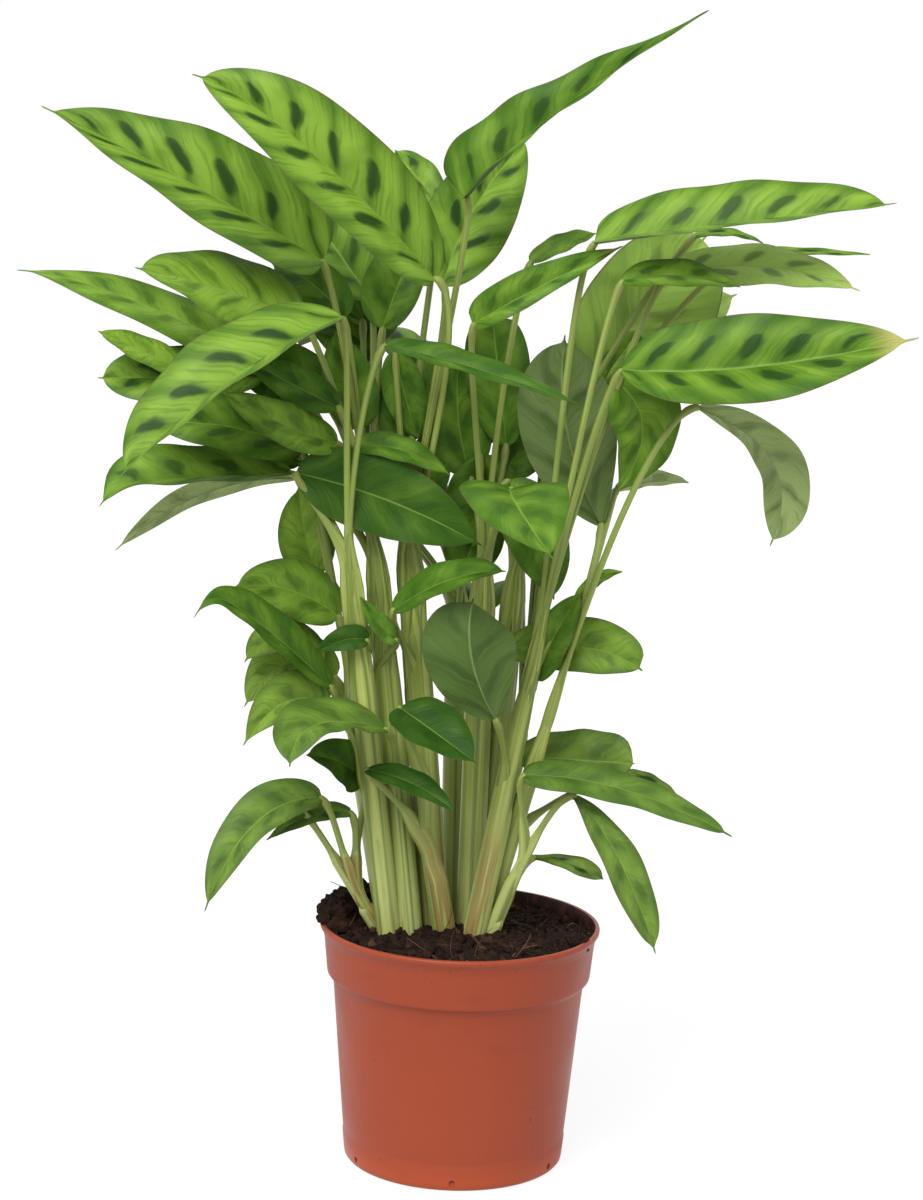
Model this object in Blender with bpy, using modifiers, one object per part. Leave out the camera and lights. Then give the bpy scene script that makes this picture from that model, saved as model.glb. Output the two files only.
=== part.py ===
"""Potted calathea: a clump of long-stalked patterned leaves in a 12 cm plastic nursery pot.

Metres, +Z up. The origin is the centre of the pot's base, and -Y is the plant's front.
Every leaf blade, every shoot (its sheath with the leaf stalks that rise from it), the soil
and the pot is one closed solid of its own. The tables are in millimetres.
"""

import math

import bmesh
import bpy
from mathutils import Vector

MM = 0.001
GAP = 0.3  # clearance kept between solids that touch on the real plant

# Pot, millimetres.
POT_RIM_RADIUS = 60.0
POT_HEIGHT = 103.5
POT_BAND_RADIUS = 58.0  # at the rim band's lower edge
POT_BAND_BOTTOM = 81.0
POT_NECK_RADIUS = 54.4  # just under the band
POT_BASE_RADIUS = 47.0
POT_CORNER = 3.0
POT_WALL = 1.2
POT_FLOOR = 1.6
DRAIN_COUNT = 6
DRAIN_RADIUS = 4.0
DRAIN_RING_RADIUS = 36.0
POT_SIDES = 48

# Soil, millimetres.
SOIL_TOP = 98.5
SOIL_PLATEAU_RADIUS = 46.0  # the flat middle that the shoots stand on
SOIL_SIDES = 40

# Leaves, millimetres.
LEAF_THICKNESS = 0.6
LEAF_END_WIDTH = 1.0  # a blade's width at its base and tip
LEAF_STEPS = 7
LEAF_CROSS_STEPS = 4
LEAF_FULLNESS = (0.50, 0.70)  # how fast a blade widens from its base and narrows to its tip
ODD_FULLNESS = {"top": (0.32, 1.25), "right_low": (0.60, 0.45)}

# Stalks, millimetres.
STALK_RADIUS = 1.5
STALK_ROOT = 8.0  # how deep a stalk starts inside its sheath's mouth, at least
STALK_RISE = 40.0  # a lower leaf's stalk leaves the sheath this far below the blade
STALK_POINTS = 8
STALK_SIDES = 6
KNEE_RADIUS = 1.8  # the swelling where a blade joins its stalk
KNEE_LENGTH = 7.0
KNEE_CROWDING = 1.6  # how much closer a stalk's points lie towards its knee
SHEATH_FOOT = 3.0  # the upright length at a sheath's foot
SHEATH_SIDES = 10

# Each shoot: foot (x, y) on the soil, mouth (x, y, z) where its sheath opens, and the sheath's
# radius at the foot and at the mouth.
SHOOTS = {
    "outer_left": ((-36, -9), (-47, -16, 131), (3.4, 2.6)),
    "low_left": ((-31, 0), (-49, 2, 200), (4.6, 3.2)),
    "left_front": ((-28, -13), (-58, -25, 243), (5.0, 3.4)),
    "left_mid": ((-18, -12), (-41, -4, 266), (5.0, 3.4)),
    "left_rear": ((-20, 1), (-41, 12, 256), (5.0, 3.4)),
    "centre_left": ((-8, -2), (-26, 4, 270), (5.0, 3.4)),
    "front": ((-6, -14), (-19, -22, 175), (5.0, 3.6)),
    "centre": ((4, -4), (5, 8, 256), (5.0, 3.4)),
    "right_front": ((5, -15), (27, -15, 232), (5.2, 3.6)),
    "right_mid": ((14, -4), (40, -14, 210), (4.8, 3.4)),
    "low_right": ((16, -13), (31, -20, 149), (4.2, 3.0)),
    "rear": ((-3, 12), (-5, 34, 240), (5.0, 3.4)),
    "right_rear": ((7, 8), (17, 12, 256), (5.0, 3.4)),
    "rear_right": ((16, 10), (36, 26, 180), (4.6, 3.2)),
}

# Each leaf: its shoot, base, middle and tip of its midrib (x, y, z), its width, the way its
# upper side faces, and how far (degrees) each half is folded up from flat.
LEAVES = {
    "top_left": ("centre_left", (-19, -10, 377), (-66, -28, 424), (-119, -20, 456), 45, (3, -9, 4), 25),
    "far_left": ("left_rear", (-66, 12, 381), (-126, 5, 414), (-184, 10, 441), 52, (4, -9, 7), 24),
    "left_behind": ("left_rear", (-46, 28, 366), (-66, 52, 390), (-84, 84, 412), 40, (-3, -6, 7), 15),
    "left_edge": ("left_mid", (-79, 20, 331), (-139, 22, 359), (-197, 30, 371), 28, (1, -6, 8), 5),
    "left_pale": ("left_mid", (-73, 0, 358), (-106, -10, 370), (-137, -35, 380), 40, (0, -7, 7), 5),
    "left_small": ("left_rear", (-57, 18, 358), (-71, 23, 372), (-90, 36, 380), 22, (0, -9, 4), 10),
    "left_front": ("left_front", (-56, -20, 361), (-102, -45, 333), (-140, -60, 297), 48, (-5, -6, 7), 30),
    "left_under": ("low_left", (-72, 0, 304), (-104, -8, 314), (-131, -12, 313), 30, (0, -8, 6), 15),
    "left_turned": ("left_mid", (-57, -5, 308), (-79, -16, 316), (-105, -24, 330), 20, (-2, 9, 4), 10),
    "left_shaded": ("left_mid", (-57, -7, 323), (-77, -6, 332), (-96, -8, 342), 18, (1, -8, 5), 12),
    "left_level": ("left_front", (-76, -5, 294), (-117, -12, 290), (-152, -22, 279), 33, (-1, -5, 9), 28),
    "centre_level": ("left_front", (-74, -13, 296), (-35, -9, 285), (4, -12, 268), 35, (1, -9, 3), 14),
    "centre_steep": ("left_rear", (-39, 21, 354), (-32, 30, 375), (-22, 46, 398), 32, (0, -9, 2), 15),
    "top_rear": ("centre_left", (-9, 12, 377), (-2, 36, 404), (21, 60, 435), 37, (1, -9, 4), 15),
    "top": ("centre_left", (-7, 0, 410), (31, -5, 445), (89, 0, 489), 36, (-5, -5, 7), 33),
    "top_right": ("right_front", (46, 0, 394), (106, -12, 404), (168, -10, 414), 41, (0, -5, 9), 28),
    "centre_up": ("centre", (-3, -5, 359), (25, -10, 376), (58, 0, 393), 20, (-1, -9, 3), 15),
    "small_rear": ("centre", (22, 20, 385), (35, 22, 393), (48, 25, 398), 12, (0, -6, 8), 20),
    "right_rear": ("right_rear", (45, 25, 330), (69, 35, 364), (97, 50, 398), 58, (3, -9, 3), 12),
    "right_behind": ("right_rear", (54, 42, 336), (80, 52, 355), (112, 62, 372), 36, (3, -8, 5), 10),
    "right_upper": ("right_front", (76, 8, 381), (117, 2, 386), (155, -10, 378), 27, (0, -6, 8), 5),
    "right_knee": ("right_front", (57, -12, 379), (81, -14, 382), (106, -12, 378), 18, (0, -6, 8), 12),
    "right_front": ("right_front", (58, -15, 343), (112, -28, 347), (177, -30, 361), 45, (0, -8, 6), 18),
    "right_droop": ("right_mid", (90, -5, 330), (123, -5, 307), (124, 0, 271), 26, (6, 7, 5), 15),
    "right_inner": ("right_front", (61, 0, 336), (74, 0, 317), (61, -5, 294), 30, (5, -8, 2), 10),
    "right_turned": ("right_mid", (54, 3, 276), (38, 8, 315), (36, 18, 355), 43, (1, 9, 2), 15),
    "centre_dark": ("centre", (13, 24, 306), (9, 30, 334), (5, 36, 362), 28, (0, -9, 1), 10),
    "centre_narrow": ("left_front", (-39, -16, 350), (-4, -24, 343), (41, -35, 330), 16, (0, -5, 9), 15),
    "heart": ("centre", (15, -20, 293), (17, -60, 291), (31, -95, 275), 44, (0, -5, 9), 12),
    "centre_hidden": ("centre", (14, 12, 293), (27, 6, 269), (35, 0, 244), 28, (2, -9, 2), 12),
    "low_left_upper": ("low_left", (-60, 0, 239), (-80, -5, 249), (-99, -12, 247), 22, (0, -7, 7), 20),
    "low_left": ("low_left", (-57, -17, 207), (-87, -32, 236), (-110, -45, 238), 21, (-1, -6, 8), 22),
    "low_left_folded": ("left_front", (-58, -16, 200), (-76, -28, 202), (-91, -45, 187), 24, (-1, -9, 5), 22),
    "low_front": ("left_mid", (-36, -32, 188), (-62, -51, 197), (-70, -72, 185), 31, (-1, -4, 9), 15),
    "outer_left": ("outer_left", (-60, -30, 162), (-85, -45, 154), (-103, -60, 121), 25, (-3, -7, 5), 20),
    "low_centre": ("front", (-41, -32, 176), (-21, -47, 174), (-4, -60, 166), 14, (0, -5, 9), 12),
    "front_small": ("front", (-28, -34, 203), (-13, -48, 196), (4, -62, 187), 28, (1, -6, 8), 15),
    "front_upper": ("centre_left", (-32, -27, 242), (-9, -37, 257), (14, -47, 263), 18, (0, -6, 8), 15),
    "front_turned": ("right_front", (12, -35, 199), (1, -42, 226), (1, -35, 250), 41, (-1, 9, 2), 20),
    "right_low": ("right_rear", (18, -2, 223), (50, -3, 225), (74, -10, 217), 26, (0, -9, 3), 12),
    "right_lower": ("right_rear", (24, 6, 177), (49, 4, 176), (72, -4, 177), 27, (0, -8, 5), 12),
    "low_right": ("low_right", (25, -24, 173), (66, -32, 171), (110, -38, 154), 19, (0, -6, 8), 6),
    "outer_right": ("low_right", (46, -27, 166), (64, -40, 143), (81, -50, 107), 20, (5, -7, 2), 8),
    "back_left": ("rear", (-26, 66, 330), (-54, 92, 348), (-84, 112, 338), 44, (-2, 3, 9), 15),
}


def clear_scene():
    for obj in list(bpy.data.objects):
        bpy.data.objects.remove(obj, do_unlink=True)


def make_collection(name, parent):
    collection = bpy.data.collections.new(name)
    parent.children.link(collection)
    return collection


def make_material(name, colour, roughness):
    material = bpy.data.materials.new(name)
    material.use_nodes = True
    shader = material.node_tree.nodes["Principled BSDF"]
    shader.inputs["Base Color"].default_value = (*colour, 1.0)
    shader.inputs["Roughness"].default_value = roughness
    shader.inputs["Metallic"].default_value = 0.0
    return material


def add_object(name, data, collection, material):
    obj = bpy.data.objects.new(name, data)
    data.materials.append(material)
    collection.objects.link(obj)
    return obj


def turned(name, profile, sides, collection, material):
    """A solid of revolution. The profile runs down its outer side and ends on the axis."""
    mesh = bpy.data.meshes.new(name)
    points = [(radius * MM, 0.0, height * MM) for radius, height in profile]
    edges = [(i, i + 1) for i in range(len(points) - 1)]
    mesh.from_pydata(points, edges, [])
    obj = add_object(name, mesh, collection, material)
    screw = obj.modifiers.new("turn", "SCREW")
    screw.steps = sides
    screw.render_steps = sides
    screw.use_merge_vertices = True
    screw.merge_threshold = 0.00001
    return obj


def make_pot(collection, cutters, material):
    wall = POT_WALL
    outside = [
        (POT_RIM_RADIUS - wall, POT_HEIGHT),
        (POT_RIM_RADIUS, POT_HEIGHT - 0.5),
        (POT_BAND_RADIUS, POT_BAND_BOTTOM),
        (POT_NECK_RADIUS, POT_BAND_BOTTOM - 2.0),
        (POT_BASE_RADIUS + 0.4, POT_CORNER),
        (POT_BASE_RADIUS - 0.6, 0.8),
        (POT_BASE_RADIUS - POT_CORNER, 0.0),
        (0.0, 0.0),
    ]
    inside = [
        (0.0, POT_FLOOR),
        (POT_BASE_RADIUS - POT_CORNER, POT_FLOOR),
        (POT_BASE_RADIUS + 0.4 - wall, POT_CORNER + 1.0),
        (POT_NECK_RADIUS - wall, POT_BAND_BOTTOM - 2.0),
        (POT_BAND_RADIUS - wall, POT_BAND_BOTTOM + 0.5),
        (POT_RIM_RADIUS - 2 * wall, POT_HEIGHT),
    ]
    pot = turned("pot", outside + inside + outside[:1], POT_SIDES, collection, material)
    for i in range(DRAIN_COUNT):
        angle = 2 * math.pi * (i + 0.5) / DRAIN_COUNT
        drill = make_drill(f"drain_{i + 1}", cutters)
        drill.location = (
            DRAIN_RING_RADIUS * MM * math.cos(angle),
            DRAIN_RING_RADIUS * MM * math.sin(angle),
            POT_FLOOR / 2 * MM,
        )
        hole = pot.modifiers.new(f"drain_{i + 1}", "BOOLEAN")
        hole.operation = "DIFFERENCE"
        hole.object = drill
    return pot


def make_drill(name, cutters):
    mesh = bpy.data.meshes.new(name)
    shape = bmesh.new()
    bmesh.ops.create_cone(
        shape,
        cap_ends=True,
        segments=12,
        radius1=DRAIN_RADIUS * MM,
        radius2=DRAIN_RADIUS * MM,
        depth=3 * POT_FLOOR * MM,
    )
    shape.to_mesh(mesh)
    shape.free()
    drill = bpy.data.objects.new(name, mesh)
    cutters.objects.link(drill)
    hide_helper(drill)
    return drill


def hide_helper(obj):
    obj.hide_render = True
    obj.display_type = "WIRE"


def make_soil(collection, material):
    """The root ball: it fills the pot to just under the rim, with a low crown."""
    inset = POT_WALL + GAP
    profile = [
        (0.0, SOIL_TOP),
        (SOIL_PLATEAU_RADIUS, SOIL_TOP),
        (POT_RIM_RADIUS - 2 * inset - 2.0, SOIL_TOP - 1.5),
        (POT_BAND_RADIUS - inset - 0.2, POT_BAND_BOTTOM + 5.0),
        (POT_NECK_RADIUS - inset - 0.1, POT_BAND_BOTTOM + 1.5),
        (POT_BASE_RADIUS - inset, POT_CORNER + 3.0),
        (POT_BASE_RADIUS - POT_CORNER - 1.0, POT_FLOOR + GAP),
        (0.0, POT_FLOOR + GAP),
    ]
    return turned("soil", profile, SOIL_SIDES, collection, material)


def bezier(points, t):
    """The point at t on the Bezier curve with these control points."""
    while len(points) > 1:
        points = [a.lerp(b, t) for a, b in zip(points, points[1:])]
    return points[0]


class Spine:
    """A leaf's midrib: a quadratic curve through its base, middle and tip, in millimetres."""

    def __init__(self, base, middle, tip):
        base, middle, tip = Vector(base), Vector(middle), Vector(tip)
        self.points = [base, 2 * middle - (base + tip) / 2, tip]

    def at(self, t):
        return bezier(self.points, t)

    def along(self, t):
        first, second, third = self.points
        return (second - first).lerp(third - second, t).normalized()


def leaf_half_width(t, width, fullness):
    """Half the blade's width at t, from a narrow base through a full middle to a point."""
    rise, fall = fullness
    fullest = rise / (rise + fall)
    most = fullest**rise * (1 - fullest) ** fall
    shape = t**rise * (1 - t) ** fall / most
    return max(LEAF_END_WIDTH / 2, width / 2 * shape)


def leaf_point(spine, half_width, facing, fold, t, side):
    """A point of the blade: t runs from base to tip, side from -1 to 1 across it."""
    along = spine.along(t)
    up = facing - facing.dot(along) * along
    up.normalize()
    across = along.cross(up)
    lean = math.radians(fold)
    flat = side * math.cos(lean) * across
    return spine.at(t) + half_width * (flat + abs(side) * math.sin(lean) * up)


def make_leaf(name, row, collection, material):
    _, base, middle, tip, width, facing, fold = row
    spine = Spine(base, middle, tip)
    shape = bmesh.new()
    bmesh.ops.create_grid(shape, x_segments=LEAF_STEPS, y_segments=LEAF_CROSS_STEPS, size=1.0)
    fullness = ODD_FULLNESS.get(name, LEAF_FULLNESS)
    for corner in shape.verts:
        t = (corner.co.x + 1) / 2
        half_width = leaf_half_width(t, width, fullness)
        corner.co = MM * leaf_point(spine, half_width, Vector(facing), fold, t, corner.co.y)
    node = "leaf_" + name
    mesh = bpy.data.meshes.new(node)
    shape.to_mesh(mesh)
    shape.free()
    leaf = add_object(node, mesh, collection, material)
    solidify = leaf.modifiers.new("thickness", "SOLIDIFY")
    solidify.thickness = LEAF_THICKNESS * MM
    solidify.offset = 0.0
    return leaf


def make_tube(name, points, radii, sides, collection, material):
    """A closed tube mesh along the points, with a radius at each."""
    curve = bpy.data.curves.new(name, "CURVE")
    curve.dimensions = "3D"
    curve.bevel_depth = MM
    curve.bevel_resolution = sides // 2 - 2
    curve.use_fill_caps = True
    spline = curve.splines.new("POLY")
    spline.points.add(len(points) - 1)
    for knot, place, radius in zip(spline.points, points, radii):
        knot.co = (*(place * MM), 1.0)
        knot.radius = radius
    guide = bpy.data.objects.new(name + "_guide", curve)
    collection.objects.link(guide)
    bpy.context.view_layer.update()
    graph = bpy.context.evaluated_depsgraph_get()
    mesh = bpy.data.meshes.new_from_object(guide.evaluated_get(graph))
    bpy.data.objects.remove(guide, do_unlink=True)
    shape = bmesh.new()
    shape.from_mesh(mesh)
    bmesh.ops.remove_doubles(shape, verts=shape.verts, dist=0.000001)
    bmesh.ops.recalc_face_normals(shape, faces=shape.faces)
    shape.to_mesh(mesh)
    shape.free()
    mesh.name = name
    mesh.materials.clear()
    return add_object(name, mesh, collection, material)


def sheath_ends(shoot):
    foot, mouth, _ = SHOOTS[shoot]
    bottom = Vector((*foot, SOIL_TOP + GAP))
    return bottom, bottom + Vector((0.0, 0.0, SHEATH_FOOT)), Vector(mouth)


def make_sheath(shoot, collection, material):
    bottom, bend, mouth = sheath_ends(shoot)
    thick, thin = SHOOTS[shoot][2]
    middle = bend.lerp(mouth, 0.5)
    radii = [thick, thick, (thick + thin) / 2, thin]
    points = [bottom, bend, middle, mouth]
    return make_tube("shoot_" + shoot, points, radii, SHEATH_SIDES, collection, material)


def stalk_route(row):
    """Points from inside the sheath's mouth up to the knee, where the blade begins."""
    shoot, base, middle, tip = row[:4]
    _, bend, mouth = sheath_ends(shoot)
    rise = (mouth - bend).normalized()
    spine = Spine(base, middle, tip)
    start_height = max(bend.z + STALK_ROOT, min(mouth.z - STALK_ROOT, base[2] - STALK_RISE))
    start = mouth - (mouth.z - start_height) / rise.z * rise
    end = spine.at(0) - GAP * spine.along(0)
    reach = (end - start).length
    handles = [start, start + reach / 3 * rise, end - KNEE_LENGTH * spine.along(0), end]
    steps = [i / (STALK_POINTS - 1) for i in range(STALK_POINTS)]
    return [bezier(handles, 1 - (1 - step) ** KNEE_CROWDING) for step in steps]


def make_shoot(shoot, collection, cutters, material):
    """The sheath joined with the stalks of its leaves into one solid."""
    sheath = make_sheath(shoot, collection, material)
    stalks = make_collection(shoot + "_stalks", cutters)
    radii = [STALK_RADIUS] * (STALK_POINTS - 2) + [KNEE_RADIUS, STALK_RADIUS]
    for name, row in LEAVES.items():
        if row[0] != shoot:
            continue
        stalk = make_tube(name + "_stalk", stalk_route(row), radii, STALK_SIDES, stalks, material)
        hide_helper(stalk)
    join = sheath.modifiers.new("stalks", "BOOLEAN")
    join.operation = "UNION"
    join.operand_type = "COLLECTION"
    join.collection = stalks
    return sheath


def main():
    clear_scene()
    plant = make_collection("potted_calathea", bpy.context.scene.collection)
    cutters = make_collection("cutters", bpy.context.scene.collection)
    terracotta = make_material("terracotta_plastic", (0.50, 0.12, 0.05), 0.45)
    earth = make_material("earth", (0.035, 0.018, 0.01), 0.95)
    blade = make_material("blade", (0.12, 0.25, 0.03), 0.45)
    stem = make_material("stem", (0.32, 0.40, 0.13), 0.5)
    make_pot(plant, cutters, terracotta)
    make_soil(plant, earth)
    for shoot in SHOOTS:
        make_shoot(shoot, plant, cutters, stem)
    for name, row in LEAVES.items():
        make_leaf(name, row, plant, blade)


main()
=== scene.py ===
"""Looks of the potted calathea: fine leaf blades, stems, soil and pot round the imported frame.

The tables are in millimetres, as in the part's source; meshes are made in metres. Every leaf
is a thin closed sheet swept along its midrib, with a map of (share of its length, side across)
that its pattern follows.
"""

import math
from types import SimpleNamespace

import bmesh
import bpy
import numpy as np
from mathutils import Matrix, Vector, noise


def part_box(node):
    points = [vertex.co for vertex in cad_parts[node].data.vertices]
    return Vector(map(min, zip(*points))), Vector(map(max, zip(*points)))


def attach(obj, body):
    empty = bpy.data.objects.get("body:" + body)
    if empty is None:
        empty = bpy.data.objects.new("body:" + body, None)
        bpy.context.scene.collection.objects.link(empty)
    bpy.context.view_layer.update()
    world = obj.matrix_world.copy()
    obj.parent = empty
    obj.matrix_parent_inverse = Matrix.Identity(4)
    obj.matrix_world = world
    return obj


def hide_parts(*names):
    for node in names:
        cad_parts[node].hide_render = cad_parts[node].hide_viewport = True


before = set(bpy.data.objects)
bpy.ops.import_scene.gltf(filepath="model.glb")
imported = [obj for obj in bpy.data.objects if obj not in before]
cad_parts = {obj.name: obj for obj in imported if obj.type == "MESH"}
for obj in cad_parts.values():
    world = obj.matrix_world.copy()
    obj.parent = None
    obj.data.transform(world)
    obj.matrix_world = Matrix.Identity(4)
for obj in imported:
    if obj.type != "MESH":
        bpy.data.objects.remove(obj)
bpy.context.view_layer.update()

MM = 0.001
MERGE = 0.000005  # metres between points that are one point

# The camera stands where the photograph was taken from.
CAMERA_PLACE = (-0.0039, -1.1247, 0.4256)
CAMERA_PITCH = 9.218  # degrees below level
CAMERA_ROLL = 1.883
CAMERA_LENS = 81.29  # millimetres
CAMERA_SENSOR = 36.0

# The main light, and the white floor.
KEY_TOWARDS = (-0.35, -0.75, 1.0)  # where the main light stands
KEY_STRENGTH = 3.4
KEY_BREADTH = 40  # degrees
FLOOR_RADIUS = 6.0  # metres
FLOOR_GLOW = 0.85

# Stalks and sheaths, millimetres. The first six are as in the part's source.
SOIL_TOP = 98.5
STALK_RADIUS = 1.5
STALK_ROOT = 8.0
STALK_RISE = 40.0
KNEE_RADIUS = 1.8
SHEATH_FOOT = 3.0
STALK_BURIED = 6.0  # how deep its end is in the soil
KNEE_BELOW = 5.0  # the stalk's upper end
KNEE_REACH = 4.5
SHEATH_REACH = 26.0  # how far above its start a petiole still carries the sheath's wings
SHEATH_FULL = 0.8  # share of its height up to which a sheath keeps its full width
STRAP_DEPTH = 2.3
STALK_SIDES = 28
RIBS = 11  # round a strap
RIB_DEPTH = 0.018
HUG = 0.38  # how far a strap's margins wrap back round the shoot
BROWN_SHARE = 0.12  # of the stalks have a dry brown sheath

# Each shoot: foot (x, y) on the soil, mouth (x, y, z) where its sheath opens, and the sheath's
# radius at the foot and at the mouth.
SHOOTS = {
    "outer_left": ((-34, -10), (-46, -15, 122), (3.0, 2.4)),
    "low_left": ((-31, 0), (-49, 2, 200), (5.2, 4.6)),
    "left_front": ((-30, -14), (-51, -20, 264), (5.4, 5.6)),
    "left_mid": ((-21, -12), (-41, -4, 266), (5.8, 5.6)),
    "left_rear": ((-20, 1), (-41, 12, 256), (6.0, 5.4)),
    "centre_left": ((-10, -3), (-27.5, 4, 270), (6.4, 6.4)),
    "front": ((-6, -14), (-19, -22, 175), (5.4, 5.0)),
    "centre": ((4, -4), (5, 8, 256), (6.2, 6.0)),
    "right_front": ((6, -15), (29, -15, 232), (5.0, 3.6)),
    "right_mid": ((10, -6), (37, -14, 207), (3.8, 2.3)),
    "low_right": ((13, -14), (30, -19.5, 149), (3.2, 2.4)),
    "rear": ((-3, 12), (-5, 34, 240), (6.0, 5.6)),
    "right_rear": ((8, 8), (19, 12, 256), (6.2, 5.6)),
    "rear_right": ((12, 9), (23, 25, 180), (4.8, 4.0)),
}

# Each leaf: its shoot, base, middle and tip of its midrib (x, y, z), its width, the way its
# upper side faces, and how far (degrees) each half is folded up from flat.
LEAVES = {
    "top_left": ("centre_left", (-19, -10, 377), (-66.3, -28, 423.8), (-119, -20, 460), 45, (3, -9, 4), 25),
    "far_left": ("left_rear", (-66, 12, 382), (-126, 5, 414.7), (-184, 10, 442), 53, (4, -9, 7), 24),
    "left_behind": ("left_rear", (-46, 28, 366), (-66, 52, 390), (-84, 84, 412), 40, (-3, -6, 7), 15),
    "left_edge": ("left_mid", (-79, 20, 332.6), (-139, 22, 360), (-197, 30, 375.5), 28, (1, -6, 8), 5),
    "left_pale": ("left_mid", (-73, 0, 358), (-106, -10, 370), (-139, -35, 379), 40, (0, -7, 7), 5),
    "left_small": ("left_rear", (-57, 18, 358), (-71, 23, 372), (-90, 36, 380), 22, (0, -9, 4), 10),
    "left_front": ("left_front", (-56, -20, 361), (-102, -45, 333), (-141, -60, 297), 48, (-5, -6, 7), 30),
    "left_under": ("low_left", (-72, 0, 304), (-105, -8, 314), (-135, -12, 313), 30, (0, -8, 6), 15),
    "left_turned": ("left_mid", (-57, -5, 308), (-79, -16, 316), (-105, -24, 330), 20, (0, -8, 5), 10),
    "left_shaded": ("left_mid", (-57, -7, 323), (-77, -6, 332), (-96, -8, 342), 18, (1, -8, 5), 12),
    "left_level": ("left_front", (-76, -5, 295), (-118, -12, 292), (-156, -22, 290), 33, (-1, -5, 9), 28),
    "centre_level": ("left_front", (-74, -13, 296), (-35, -9, 285), (4, -12, 268), 35, (1, -9, 3), 14),
    "centre_steep": ("left_rear", (-41, 21, 354), (-34, 30, 375), (-24, 46, 398), 30, (0, -9, 2), 15),
    "top_rear": ("centre_left", (-16, 12, 373), (-4, 36, 405), (19, 60, 437), 37, (1, -9, 4), 15),
    "top": ("centre_left", (-8, 0, 410), (29, -5, 446.5), (89, 0, 489), 36, (-5, -5, 7), 33),
    "top_right": ("right_front", (46, 0, 394), (106, -12, 404), (168, -10, 414), 41, (0, -5, 9), 28),
    "centre_up": ("centre", (-3, -5, 359), (25, -10, 376), (58, 0, 393), 20, (-1, -9, 3), 15),
    "small_rear": ("centre", (20, 20, 384), (35, 22, 392), (48, 25, 397), 12, (0, -6, 8), 20),
    "right_rear": ("right_rear", (45, 25, 330), (69, 35, 364), (97, 50, 398), 58, (3, -9, 3), 12),
    "right_behind": ("right_rear", (54, 42, 336), (80, 52, 355), (112, 62, 372), 36, (3, -8, 5), 10),
    "right_upper": ("right_front", (76, 8, 381), (117, 2, 386), (155, -10, 378), 27, (0, -6, 8), 5),
    "right_knee": ("right_front", (57, -12, 379), (81, -14, 382), (106, -12, 378), 18, (0, -6, 8), 12),
    "right_front": ("right_front", (58, -15, 343), (112, -28, 347), (177, -30, 361), 45, (0, -8, 6), 18),
    "right_droop": ("right_mid", (91, -5, 328), (124, -5, 305.5), (124.3, 0, 270), 27, (6, 7, 5), 15),
    "right_inner": ("right_front", (57, 0, 337), (69, 0, 317), (58, -5, 290), 38, (5, -8, 2), 10),
    "right_turned": ("right_mid", (54, 3, 276), (38, 8, 315), (36, 18, 355), 43, (1, 9, 2), 15),
    "centre_dark": ("centre", (13, 24, 306), (9, 30, 334), (5, 36, 362), 28, (0, -9, 1), 10),
    "centre_narrow": ("left_front", (-39, -16, 350), (-4, -24, 343), (41, -35, 330), 16, (0, -5, 9), 15),
    "heart": ("centre", (15, -20, 293), (17, -60, 291), (31, -95, 275), 44, (0, -5, 9), 12),
    "centre_hidden": ("centre", (14, 12, 293), (27, 6, 269), (35, 0, 244), 28, (2, -9, 2), 12),
    "low_left_upper": ("low_left", (-55, 0, 234), (-77, -5, 246), (-99, -12, 247), 27, (0, -8, 5), 15),
    "low_left": ("low_left", (-57, -17, 207), (-88, -32, 237), (-111, -45, 252), 21, (-1, -6, 8), 22),
    "low_left_folded": (
        "left_front", (-58, -16, 200), (-76, -28, 202), (-91, -45, 187), 24, (-1, -9, 5), 22,
    ),
    "low_front": ("left_mid", (-33, -32, 193), (-61, -51, 198), (-70, -72, 185), 32, (-1, -4, 9), 15),
    "outer_left": (
        "outer_left", (-59, -30, 163), (-85.5, -45, 154.5), (-104, -60, 121), 24, (-3, -7, 5), 20,
    ),
    "low_centre": ("front", (-41, -32, 176), (-21, -47, 174), (-4, -60, 166), 14, (0, -5, 9), 12),
    "front_small": ("front", (-28, -34, 203), (-13, -48, 196), (4, -62, 187), 28, (1, -6, 8), 15),
    "front_upper": ("centre_left", (-32, -27, 242), (-9, -37, 257), (14, -47, 263), 20, (0, -6, 8), 15),
    "front_turned": ("right_front", (12, -35, 199), (1, -42, 226), (1, -35, 250), 41, (-1, 9, 2), 20),
    "right_low": ("right_rear", (16, -2, 223), (49, -3, 225), (73, -10, 217), 26, (0, -9, 3), 12),
    "right_lower": ("right_rear", (22, 6, 176), (48, 4, 175), (72, -4, 176), 27, (0, -8, 5), 12),
    "low_right": ("low_right", (24, -24, 174), (66, -32, 171), (111, -38, 154), 18, (0, -6, 8), 6),
    "outer_right": (
        "low_right", (45.5, -26, 166.5), (64.3, -40, 143.6), (80.5, -50, 106.5), 19, (5, -7, 2), 8,
    ),
    "back_left": ("rear", (-26, 66, 330), (-54, 92, 348), (-84, 112, 338), 44, (-2, 3, 9), 15),
}

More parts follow.
